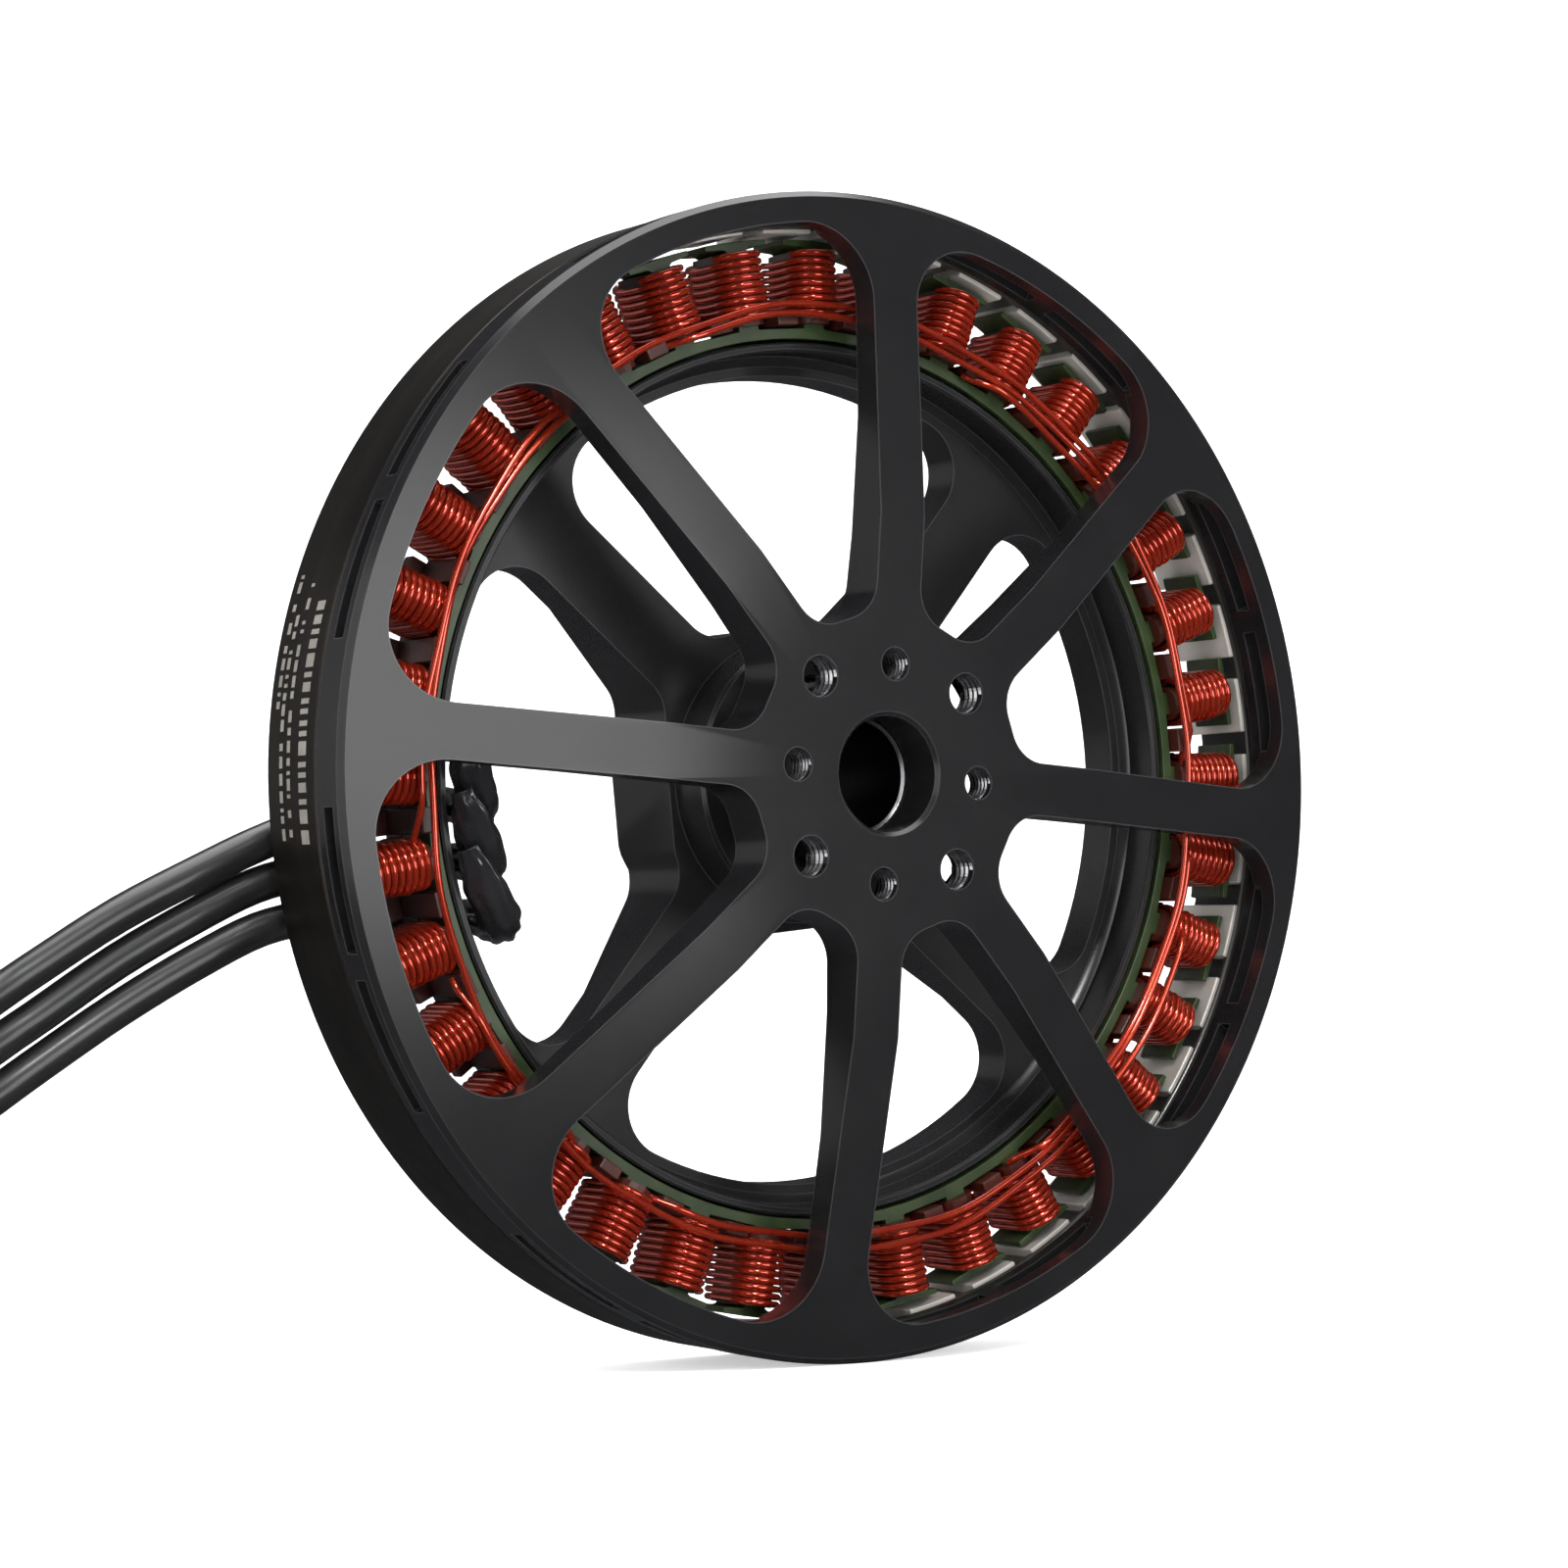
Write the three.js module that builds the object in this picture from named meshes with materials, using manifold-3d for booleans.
// Flat brushless outrunner motor, millimetres. The motor axis is Y, its propeller side faces -Y and +Z is up.
// The origin is on the axis, in the plane of the rear mounting face. It stands on the rim of its rotor.
import * as THREE from "three";
import { mergeVertices } from "three/addons/utils/BufferGeometryUtils.js";
import Module from "manifold-3d";

const wasm = await Module();
wasm.setup();

// Driving dimensions. A depth is counted backwards from the plane of the rotor's front rim.
const THICKNESS_BEHIND_RIM = 20.6;
const ROTOR_RADIUS = 53.5;
const HUB_FACE_DEPTH = -4.3;
const HUB_FACE_RADIUS = 24;
const SEAM_DEPTH = 4.4;
const GAP = 0.3;
const ROTOR_TURN = -3.5;
const SPOKE_COUNT = 8;
const SPOKE_HALF_WIDTH = 2.45;
const POLE_COUNT = 42;
const TOOTH_COUNT = 36;
const TOOTH_TURN = 1.4;
const STATOR_RADIUS = 50;
const AIR_GAP = 0.45;
const CORE_FRONT = 6.4;
const CORE_REAR = 11.4;
const CORE_BORE_RADIUS = 40.75;
const YOKE_REAR = 13.85;
const SHAFT_RADIUS = 6;
const SHAFT_BORE_RADIUS = 5;
const BEARING_RADIUS = 9;
const BEARING_WIDTH = 4;
const FRAME_SPOKE_COUNT = 4;
const FRAME_SPOKE_HALF_WIDTH = 3.54;
const FRAME_TURN = 51.2;
const LEAD_RADIUS = 1.6;
const LEAD_DEPTH = 17;
const FLOOR_Z = -ROTOR_RADIUS;

const MATERIALS = {
  cover: { color: 0x2b2b2e, roughness: 0.38, metalness: 0.75 },
  frame: { color: 0x3a3a3d, roughness: 0.45, metalness: 0.7 },
  yoke: { color: 0x3b3632, roughness: 0.4, metalness: 0.8 },
  magnet: { color: 0xb9b6ae, roughness: 0.3, metalness: 0.9 },
  steel: { color: 0xc4c6c9, roughness: 0.28, metalness: 1 },
  lamination: { color: 0x53604a, roughness: 0.6, metalness: 0.4 },
  winding: { color: 0xc8321c, roughness: 0.3, metalness: 0.5 },
  sleeve: { color: 0x141416, roughness: 0.3, metalness: 0 },
  lead: { color: 0x1d1d1f, roughness: 0.6, metalness: 0 },
  gold: { color: 0xc9a04a, roughness: 0.3, metalness: 1 },
  tie: { color: 0x202022, roughness: 0.5, metalness: 0 },
};

const group = new THREE.Group();

const rad = (degrees) => (degrees * Math.PI) / 180;
const yAt = (depth) => depth - THICKNESS_BEHIND_RIM;

function addMesh(name, finish, geometry) {
  const mesh = new THREE.Mesh(geometry, new THREE.MeshStandardMaterial(MATERIALS[finish]));
  mesh.name = name;
  group.add(mesh);
  return mesh;
}

function toSolid(geometry) {
  const bare = geometry.clone();
  bare.deleteAttribute("normal");
  bare.deleteAttribute("uv");
  const merged = mergeVertices(bare, 1e-4);
  return new wasm.Manifold(
    new wasm.Mesh({
      numProp: 3,
      vertProperties: merged.attributes.position.array,
      triVerts: new Uint32Array(merged.index.array),
    }),
  );
}

function toGeometry(solid) {
  const mesh = solid.getMesh();
  const geometry = new THREE.BufferGeometry();
  geometry.setAttribute("position", new THREE.BufferAttribute(mesh.vertProperties, 3));
  geometry.setIndex(new THREE.BufferAttribute(mesh.triVerts, 1));
  const flat = geometry.toNonIndexed();
  flat.computeVertexNormals();
  return flat;
}

// A solid of revolution about the motor axis. The profile is [radius, depth] pairs: outwards along the front,
// then inwards along the back.
function turned(profile, segments) {
  const points = profile.map(([radius, depth]) => new THREE.Vector2(radius, yAt(depth)));
  points.push(points[0].clone());
  return new THREE.LatheGeometry(points, segments);
}

// A flat outline, drawn as it is seen from the front, given thickness between two depths.
function plate(shape, front, rear, curveSegments = 12) {
  const geometry = new THREE.ExtrudeGeometry(shape, {
    depth: rear - front,
    bevelEnabled: false,
    curveSegments,
  });
  geometry.rotateX(Math.PI / 2);
  geometry.translate(0, yAt(rear), 0);
  return geometry;
}

function polar(radius, degrees) {
  return new THREE.Vector2(radius * Math.cos(rad(degrees)), radius * Math.sin(rad(degrees)));
}

// The outline of the opening between two spokes: straight along each spoke, an arc at the hub and an arc at
// the rim, and a round fillet in each corner.
function windowShape(start, step, halfWidth, hub, rim) {
  const points = [];
  const arc = (centre, radius, from, to, count) => {
    for (let i = 0; i <= count; i++) {
      points.push(centre.clone().add(polar(radius, from + ((to - from) * i) / count)));
    }
  };
  const bend = (edge, side) =>
    (Math.asin((halfWidth + edge.fillet) / (edge.radius + side * edge.fillet)) * 180) / Math.PI;
  const atHub = bend(hub, 1);
  const atRim = bend(rim, -1);
  const hubCentre = hub.radius + hub.fillet;
  const rimCentre = rim.radius - rim.fillet;
  const end = start + step;
  arc(polar(hubCentre, start + atHub), hub.fillet, start + atHub - 180, start - 90, 4);
  arc(polar(rimCentre, start + atRim), rim.fillet, start - 90, start + atRim, 5);
  arc(new THREE.Vector2(), rim.radius, start + atRim, end - atRim, rim.steps);
  arc(polar(rimCentre, end - atRim), rim.fillet, end - atRim, end + 90, 5);
  arc(polar(hubCentre, end - atHub), hub.fillet, end + 90, end - atHub + 180, 4);
  return new THREE.Shape(points.filter((p, i) => i === 0 || p.distanceTo(points[i - 1]) > 1e-3));
}

function roundHole(radius, at, front, rear) {
  const cutter = new THREE.CylinderGeometry(radius, radius, rear - front, 12);
  cutter.translate(at.x, yAt((front + rear) / 2), at.y);
  return toSolid(cutter);
}

const frontSurface = (radius) =>
  (HUB_FACE_DEPTH * (ROTOR_RADIUS - radius)) / (ROTOR_RADIUS - HUB_FACE_RADIUS);

// Rotor cover: a shallow cone with eight spokes, a slotted side band and a bored hub.
const WINDOW_HUB = { radius: 14.6, fillet: 3.8 };
const WINDOW_RIM = { radius: 50.6, fillet: 6.3, steps: 4 };
const HUB_BORE_RADIUS = 5.3;
const HUB_BORE_END = 0.76;
const BOSS_RADIUS = 8.5;
const BOSS_END = 5.1;
const HUB_POCKET_RADIUS = 13.9;
const HUB_POCKET_DEPTH = -1;
const PROP_BOLTS = [
  { radius: 11.45, hole: 1.85, turn: 45 },
  { radius: 10, hole: 1.5, turn: 0 },
];
const SLOT_LENGTH = 13.5;
const SLOT_PAIR_GAP = 2.6;
const SLOT_HALF_HEIGHT = 0.85;
const SLOT_DEPTH = 2.2;

function rotorCover() {
  const shaftSeat = SHAFT_RADIUS + GAP;
  let cover = toSolid(
    turned(
      [
        [HUB_BORE_RADIUS, HUB_FACE_DEPTH],
        [HUB_FACE_RADIUS, HUB_FACE_DEPTH],
        [ROTOR_RADIUS - 0.3, frontSurface(ROTOR_RADIUS - 0.3)],
        [ROTOR_RADIUS, 0.3],
        [ROTOR_RADIUS, SEAM_DEPTH],
        [WINDOW_RIM.radius, SEAM_DEPTH],
        [WINDOW_RIM.radius, 2.3],
        [33, 0.2],
        [22, 0.2],
        [HUB_POCKET_RADIUS, 0.9],
        [HUB_POCKET_RADIUS, HUB_POCKET_DEPTH],
        [BOSS_RADIUS, HUB_POCKET_DEPTH],
        [BOSS_RADIUS, BOSS_END],
        [shaftSeat, BOSS_END],
        [shaftSeat, HUB_BORE_END - GAP],
        [HUB_BORE_RADIUS, HUB_BORE_END - GAP],
      ],
      72,
    ),
  );
  const step = 360 / SPOKE_COUNT;
  const slotHalfAngle = SLOT_LENGTH / 2;
  const slotOffset = (SLOT_LENGTH + SLOT_PAIR_GAP) / 2;
  for (let i = 0; i < SPOKE_COUNT; i++) {
    const spoke = ROTOR_TURN + i * step;
    const opening = windowShape(spoke, step, SPOKE_HALF_WIDTH, WINDOW_HUB, WINDOW_RIM);
    cover = cover.subtract(toSolid(plate(opening, HUB_FACE_DEPTH - 2, SEAM_DEPTH + 2)));
    for (const side of [-1, 1]) {
      const middle = spoke + step / 2 + side * slotOffset;
      cover = cover.subtract(rimSlot(middle, slotHalfAngle));
    }
  }
  for (const { radius, hole, turn } of PROP_BOLTS) {
    for (let i = 0; i < 4; i++) {
      const at = polar(radius, ROTOR_TURN + turn + i * 90);
      cover = cover.subtract(roundHole(hole, at, HUB_FACE_DEPTH - 1, HUB_POCKET_DEPTH + 1));
    }
  }
  return toGeometry(cover);
}

function rimSlot(middle, halfAngle) {
  const slot = new THREE.Shape();
  const inner = WINDOW_RIM.radius - 1;
  const outer = ROTOR_RADIUS + 1;
  slot.absarc(0, 0, outer, rad(middle - halfAngle), rad(middle + halfAngle), false);
  slot.absarc(0, 0, inner, rad(middle + halfAngle), rad(middle - halfAngle), true);
  return toSolid(plate(slot, SLOT_DEPTH - SLOT_HALF_HEIGHT, SLOT_DEPTH + SLOT_HALF_HEIGHT, 4));
}

// Steel yoke behind the cover, and the ring of magnets that it carries.
const YOKE_FRONT = SEAM_DEPTH + GAP;
const YOKE_OUTER = ROTOR_RADIUS - 0.1;
const YOKE_INNER = 52.3;
const MAGNET_INNER = STATOR_RADIUS + AIR_GAP;
const MAGNET_OUTER = YOKE_INNER - GAP;
const MAGNET_FRONT = 5.6;
const MAGNET_REAR = 13.55;
const MAGNET_TURN = 1;
const MAGNET_SHARE = 0.71;
const MAGNET_BACKING = 0.45;

function yokeRing() {
  return turned(
    [
      [YOKE_INNER, YOKE_REAR],
      [YOKE_INNER, YOKE_FRONT],
      [YOKE_OUTER, YOKE_FRONT],
      [YOKE_OUTER, YOKE_REAR],
    ],
    96,
  );
}

function magnetRing() {
  const pitch = 360 / POLE_COUNT;
  const half = (pitch * MAGNET_SHARE) / 2;
  const outline = [];
  const bore = [];
  for (let i = 0; i < POLE_COUNT; i++) {
    const middle = MAGNET_TURN + i * pitch;
    outline.push(polar(MAGNET_OUTER, middle - half), polar(MAGNET_OUTER, middle + half));
    bore.push(
      polar(MAGNET_OUTER - MAGNET_BACKING, middle - half),
      polar(MAGNET_INNER, middle - half),
      polar(MAGNET_INNER, middle),
      polar(MAGNET_INNER, middle + half),
      polar(MAGNET_OUTER - MAGNET_BACKING, middle + half),
    );
  }
  const ring = new THREE.Shape(outline);
  ring.holes.push(new THREE.Path(bore.reverse()));
  return plate(ring, MAGNET_FRONT, MAGNET_REAR);
}

// Hollow shaft, with its shim in front of the bearings and its retaining ring behind them.
const FRONT_BEARING_DEPTH = 6.4;
const REAR_BEARING_DEPTH = 14.35;
const SHAFT_END = 20.2;
const GROOVE_RADIUS = 5.55;
const RETAINING_RING = { inner: 5.85, outer: 8.2, front: 18.65, rear: 19.45 };
const SHIM = { outer: 8, front: 5.4, rear: 6.1 };

function rotorShaft() {
  return turned(
    [
      [SHAFT_BORE_RADIUS, SHAFT_END],
      [SHAFT_BORE_RADIUS, HUB_BORE_END],
      [SHAFT_RADIUS, HUB_BORE_END],
      [SHAFT_RADIUS, RETAINING_RING.front - GAP],
      [GROOVE_RADIUS, RETAINING_RING.front - GAP],
      [GROOVE_RADIUS, RETAINING_RING.rear + GAP],
      [SHAFT_RADIUS, RETAINING_RING.rear + GAP],
      [SHAFT_RADIUS, SHAFT_END],
    ],
    32,
  );
}

function washer(inner, outer, front, rear, segments = 28) {
  return turned(
    [
      [inner, rear],
      [inner, front],
      [outer, front],
      [outer, rear],
    ],
    segments,
  );
}

// Split retaining ring, open at the top.
function retainingRing() {
  const { inner, outer, front, rear } = RETAINING_RING;
  const gapAngle = 20;
  const shape = new THREE.Shape();
  shape.absarc(0, 0, outer, rad(90 + gapAngle), rad(450 - gapAngle), false);
  shape.absarc(0, 0, inner, rad(450 - gapAngle), rad(90 + gapAngle), true);
  return plate(shape, front, rear, 14);
}

// Stator frame: an outer ring that carries the core, four spokes, and the hub with both bearing seats.
const FRAME_WALL = 40.45;
const FRAME_WINDOW_RIM = { radius: 37.8, fillet: 4.8, steps: 8 };
const FRAME_WINDOW_HUB = { radius: 15.2, fillet: 4 };
const FLANGE_RADIUS = 41.6;
const FLANGE_REAR = 15;
const FRAME_SPOKE_FRONT = 10.8;
const FRAME_NOSE_RADIUS = 13.4;
const FRAME_NOSE_FRONT = 6.2;
const MID_BORE_RADIUS = 7.5;
const MOUNT_BOLTS = { radius: 12.5, hole: 1.65, depth: 7 };

function statorBase() {
  const seat = BEARING_RADIUS + GAP;
  let base = toSolid(
    turned(
      [
        [seat, FRAME_NOSE_FRONT],
        [FRAME_NOSE_RADIUS, FRAME_NOSE_FRONT],
        [FRAME_NOSE_RADIUS, FRAME_SPOKE_FRONT],
        [38.9, FRAME_SPOKE_FRONT],
        [39.6, FRAME_SPOKE_FRONT - 0.6],
        [39.6, CORE_FRONT + 0.1],
        [FRAME_WALL, CORE_FRONT + 0.1],
        [FRAME_WALL, CORE_REAR + GAP],
        [FLANGE_RADIUS, CORE_REAR + GAP],
        [FLANGE_RADIUS, FLANGE_REAR],
        [28.7, FLANGE_REAR],
        [FRAME_WINDOW_HUB.radius, 19.8],
        [FRAME_WINDOW_HUB.radius, THICKNESS_BEHIND_RIM],
        [seat, THICKNESS_BEHIND_RIM],
        [seat, REAR_BEARING_DEPTH - GAP],
        [MID_BORE_RADIUS, REAR_BEARING_DEPTH - GAP],
        [MID_BORE_RADIUS, FRONT_BEARING_DEPTH + BEARING_WIDTH + GAP],
        [seat, FRONT_BEARING_DEPTH + BEARING_WIDTH + GAP],
      ],
      60,
    ),
  );
  const step = 360 / FRAME_SPOKE_COUNT;
  for (let i = 0; i < FRAME_SPOKE_COUNT; i++) {
    const spoke = FRAME_TURN + i * step;
    const opening = windowShape(
      spoke,
      step,
      FRAME_SPOKE_HALF_WIDTH,
      FRAME_WINDOW_HUB,
      FRAME_WINDOW_RIM,
    );
    base = base.subtract(toSolid(plate(opening, FRAME_SPOKE_FRONT - 1, THICKNESS_BEHIND_RIM + 1)));
    const at = polar(MOUNT_BOLTS.radius, spoke);
    const blind = THICKNESS_BEHIND_RIM - MOUNT_BOLTS.depth;
    base = base.subtract(roundHole(MOUNT_BOLTS.hole, at, blind, THICKNESS_BEHIND_RIM + 1));
  }
  return toGeometry(base);
}

// Laminated core with its teeth, and one wound coil on each tooth.
const TOOTH_HALF_WIDTH = 1.1;
const TOOTH_ROOT_RADIUS = 41.8;
const TOOTH_HEAD_RADIUS = 49.3;
const TOOTH_HEAD_SHARE = 0.78;
const COIL_HALF_WIDTH = 2.5;
const COIL_FRONT = 4.4;
const COIL_REAR = 13.4;
const COIL_INNER_END = 42.1;
const COIL_OUTER_END = 49;
const COIL_OPENING = { halfWidth: 1.4, front: 6.1, rear: 11.7 };

function statorCore() {
  const pitch = 360 / TOOTH_COUNT;
  const headHalf = (pitch * TOOTH_HEAD_SHARE) / 2;
  const outline = [];
  for (let i = 0; i < TOOTH_COUNT; i++) {
    const middle = TOOTH_TURN + i * pitch;
    const edge = (radius) => (Math.asin(TOOTH_HALF_WIDTH / radius) * 180) / Math.PI;
    const root = edge(TOOTH_ROOT_RADIUS);
    const neck = edge(TOOTH_HEAD_RADIUS);
    outline.push(
      polar(TOOTH_ROOT_RADIUS, middle - root),
      polar(TOOTH_HEAD_RADIUS, middle - neck),
      polar(TOOTH_HEAD_RADIUS + 0.2, middle - headHalf),
      polar(STATOR_RADIUS, middle - headHalf),
      polar(STATOR_RADIUS, middle),
      polar(STATOR_RADIUS, middle + headHalf),
      polar(TOOTH_HEAD_RADIUS + 0.2, middle + headHalf),
      polar(TOOTH_HEAD_RADIUS, middle + neck),
      polar(TOOTH_ROOT_RADIUS, middle + root),
    );
  }
  const bore = [];
  for (let i = 0; i < 2 * TOOTH_COUNT; i++) {
    bore.push(polar(CORE_BORE_RADIUS, (i * pitch) / 2));
  }
  const core = new THREE.Shape(outline);
  core.holes.push(new THREE.Path(bore.reverse()));
  return plate(core, CORE_FRONT, CORE_REAR);
}

// One coil: a loop with rounded ends, drawn across the tooth and extruded outwards along it.
function toothCoil(degrees) {
  const middle = (COIL_FRONT + COIL_REAR) / 2;
  const straight = (COIL_REAR - COIL_FRONT) / 2 - COIL_HALF_WIDTH;
  const loop = new THREE.Shape();
  loop.absarc(0, straight, COIL_HALF_WIDTH, 0, Math.PI, false);
  loop.absarc(0, -straight, COIL_HALF_WIDTH, Math.PI, 2 * Math.PI, false);
  const { halfWidth, front, rear } = COIL_OPENING;
  const opening = new THREE.Path();
  opening.moveTo(-halfWidth, front - middle);
  opening.lineTo(-halfWidth, rear - middle);
  opening.lineTo(halfWidth, rear - middle);
  opening.lineTo(halfWidth, front - middle);
  loop.holes.push(opening);
  const geometry = new THREE.ExtrudeGeometry(loop, {
    depth: COIL_OUTER_END - COIL_INNER_END,
    bevelEnabled: false,
    curveSegments: 4,
  });
  geometry.translate(0, yAt(middle), COIL_INNER_END);
  geometry.rotateY(rad(90 - degrees));
  return geometry;
}

// Three heat-shrink sleeves where the windings meet the leads, and the three leads.
const LEAD_NAMES = ["a", "b", "c"];
const SLEEVE_RADIUS = 1.95;
const SLEEVE_HEIGHTS = [-3, -8, -13];
const SLEEVE_ROUTE = [
  [41.5, 4.3],
  [39.4, 4.3],
  [37.3, 4.9],
  [35.7, 6.5],
  [35, 8.8],
  [35, 12],
  [35, 14.6],
];

// A lead's own points are [x, depth, z]. They run from the sleeve to the stored coil.
const LEAD_ROUTES = [
  [
    [-34.87, 14.95, -3],
    [-34.87, 15.6, -3],
    [-35.6, 16.6, -3.1],
    [-37.6, 17, -3.3],
    [-43, 17, -4],
    [-48, 17, -5.1],
    [-52.7, 17, -6.8],
    [-58.4, 17, -9.4],
    [-65.7, 17, -13],
    [-72.8, 17, -17.3],
    [-76.1, 17, -19.4],
    [-79.8, 16.4, -21.8],
    [-83.4, 14.4, -24.4],
    [-87, 12.1, -27.2],
    [-90.6, 9.8, -29.8],
    [-94.2, 7.5, -31.2],
  ],
  [
    [-34.07, 14.95, -8],
    [-34.07, 15.6, -8],
    [-34.8, 16.6, -8.1],
    [-36.8, 17, -8.2],
    [-43, 17, -8.6],
    [-48, 17.3, -9.2],
    [-52.6, 17.5, -10.4],
    [-58.4, 17.5, -13.1],
    [-65.7, 17.3, -17],
    [-72.8, 17, -21.5],
    [-76.1, 17, -23.6],
    [-79.8, 16.4, -26],
    [-83.4, 14.4, -28.6],
    [-87, 12.1, -31.4],
    [-90.6, 9.8, -34],
  ],
  [
    [-32.5, 14.95, -13],
    [-32.5, 15.6, -13],
    [-33.2, 16.6, -13],
    [-35.2, 17, -13],
    [-43, 17, -13],
    [-48, 16.7, -13.2],
    [-52.6, 16.5, -14.2],
    [-58.4, 16.5, -16.9],
    [-65.7, 16.7, -21],
    [-72.8, 17, -25.6],
    [-76.1, 17, -27.8],
    [-79.8, 16.4, -30.2],
    [-83.4, 14.4, -32.8],
    [-87, 12.1, -35.6],
    [-90.4, 9.9, -38.2],
  ],
];

function tube(points, radius, sides, steps) {
  const section = new THREE.Shape();
  for (let i = 0; i < sides; i++) {
    const corner = polar(radius, (i * 360) / sides);
    if (i === 0) section.moveTo(corner.x, corner.y);
    else section.lineTo(corner.x, corner.y);
  }
  return new THREE.ExtrudeGeometry(section, {
    extrudePath: new THREE.CatmullRomCurve3(points, false, "centripetal"),
    steps,
    bevelEnabled: false,
  });
}

function sleeve(height) {
  const points = SLEEVE_ROUTE.map(
    ([radius, depth]) => new THREE.Vector3(-Math.sqrt(radius ** 2 - height ** 2), yAt(depth), height),
  );
  return tube(points, SLEEVE_RADIUS, 8, 9);
}

function lead(route, steps) {
  const points = route.map(([x, depth, z]) => new THREE.Vector3(x, yAt(depth), z));
  return tube(points, LEAD_RADIUS, 8, steps);
}

// The stored length of the three leads: one neat coil, its tie, and on each lead a short tail that leaves the
// coil at the back and ends in a bullet connector. A tail's own points are [x, depth, z].
const COIL = { x: -111, inner: 13.3, outer: 19.8, height: 19.6 };
const TIE_THICKNESS = 1;
const TIE_WIDTH = 3;
const COIL_BASE_Z = FLOOR_Z + TIE_THICKNESS + GAP;
const CONNECTOR_RADIUS = 2.3;
const CONNECTOR_PIN_RADIUS = 1.75;
const CONNECTOR_TURNS = [78, 28, 0];
const TAIL_ROUTES = [
  [
    [-98.4, 34.8, -44.2],
    [-96.6, 33.7, -44.7],
    [-94.2, 31.5, -45.9],
    [-90.6, 26.6, -48.8],
    [-89, 22.9, -50.8],
    [-88.4, 20.4, -51.2],
  ],
  [
    [-98.4, 34.3, -47.5],
    [-96.6, 33, -48.2],
    [-93, 30.8, -50],
    [-90.2, 29.5, -51],
    [-87.8, 28.3, -51.2],
  ],
  [
    [-98.6, 34.4, -50.9],
    [-96.8, 34.4, -51.1],
    [-94.8, 34.4, -51.2],
    [-92.2, 34.4, -51.2],
  ],
];

function leadCoil() {
  const chamfer = 1.1;
  const { inner, outer, height } = COIL;
  const profile = [
    [inner, height - chamfer],
    [inner, chamfer],
    [inner + chamfer, 0],
    [outer - chamfer, 0],
    [outer, chamfer],
    [outer, height - chamfer],
    [outer - chamfer, height],
    [inner + chamfer, height],
    [inner, height - chamfer],
  ].map(([radius, z]) => new THREE.Vector2(radius, z));
  return new THREE.LatheGeometry(profile, 32).rotateX(Math.PI / 2);
}

function coilTie() {
  const width = COIL.outer - COIL.inner + 2 * GAP;
  const height = COIL.height + 2 * GAP;
  const frame = (grow) => [
    new THREE.Vector2(-width / 2 - grow, -height / 2 - grow),
    new THREE.Vector2(width / 2 + grow, -height / 2 - grow),
    new THREE.Vector2(width / 2 + grow, height / 2 + grow),
    new THREE.Vector2(-width / 2 - grow, height / 2 + grow),
  ];
  const strap = new THREE.Shape(frame(TIE_THICKNESS));
  strap.holes.push(new THREE.Path(frame(0).reverse()));
  return new THREE.ExtrudeGeometry(strap, { depth: TIE_WIDTH, bevelEnabled: false })
    .translate(0, 0, -TIE_WIDTH / 2)
    .rotateX(Math.PI / 2);
}

function connector() {
  const profile = [
    [0, 0],
    [CONNECTOR_RADIUS, 0],
    [CONNECTOR_RADIUS, 6],
    [CONNECTOR_PIN_RADIUS, 6.4],
    [CONNECTOR_PIN_RADIUS, 13.2],
    [CONNECTOR_PIN_RADIUS - 0.8, 14],
    [0, 14],
  ].map(([radius, along]) => new THREE.Vector2(radius, along));
  return new THREE.LatheGeometry(profile, 10).rotateZ(-Math.PI / 2);
}

addMesh("rotor_cover", "cover", rotorCover());
addMesh("yoke_ring", "yoke", yokeRing());
addMesh("magnet_ring", "magnet", magnetRing());
addMesh("rotor_shaft", "steel", rotorShaft());
addMesh("shaft_shim", "steel", washer(SHAFT_RADIUS + GAP, SHIM.outer, SHIM.front, SHIM.rear));
addMesh("retaining_ring", "steel", retainingRing());

addMesh("stator_base", "frame", statorBase());
addMesh("stator_core", "lamination", statorCore());
for (const [name, depth] of [
  ["front_bearing", FRONT_BEARING_DEPTH],
  ["rear_bearing", REAR_BEARING_DEPTH],
]) {
  const ring = washer(SHAFT_RADIUS + GAP, BEARING_RADIUS, depth, depth + BEARING_WIDTH);
  addMesh(name, "steel", ring);
}
for (let i = 0; i < TOOTH_COUNT; i++) {
  const name = "coil_" + String(i + 1).padStart(2, "0");
  addMesh(name, "winding", toothCoil(TOOTH_TURN + (i * 360) / TOOTH_COUNT));
}

LEAD_NAMES.forEach((name, i) => {
  addMesh("splice_" + name, "sleeve", sleeve(SLEEVE_HEIGHTS[i]));
  addMesh("lead_" + name, "lead", lead(LEAD_ROUTES[i], 18));
  addMesh("lead_tail_" + name, "lead", lead(TAIL_ROUTES[i], 5));
  const plug = addMesh("connector_" + name, "gold", connector());
  const [x, depth] = TAIL_ROUTES[i].at(-1);
  const direction = polar(GAP, -CONNECTOR_TURNS[i]);
  plug.position.set(x + direction.x, yAt(depth) + direction.y, FLOOR_Z + CONNECTOR_RADIUS);
  plug.rotation.z = rad(-CONNECTOR_TURNS[i]);
});
const stored = addMesh("lead_coil", "lead", leadCoil());
stored.position.set(COIL.x, yAt(LEAD_DEPTH), COIL_BASE_Z);
const tie = addMesh("coil_tie", "tie", coilTie());
tie.position.set(
  COIL.x - (COIL.inner + COIL.outer) / 2,
  yAt(LEAD_DEPTH),
  COIL_BASE_Z + COIL.height / 2,
);

export default group;
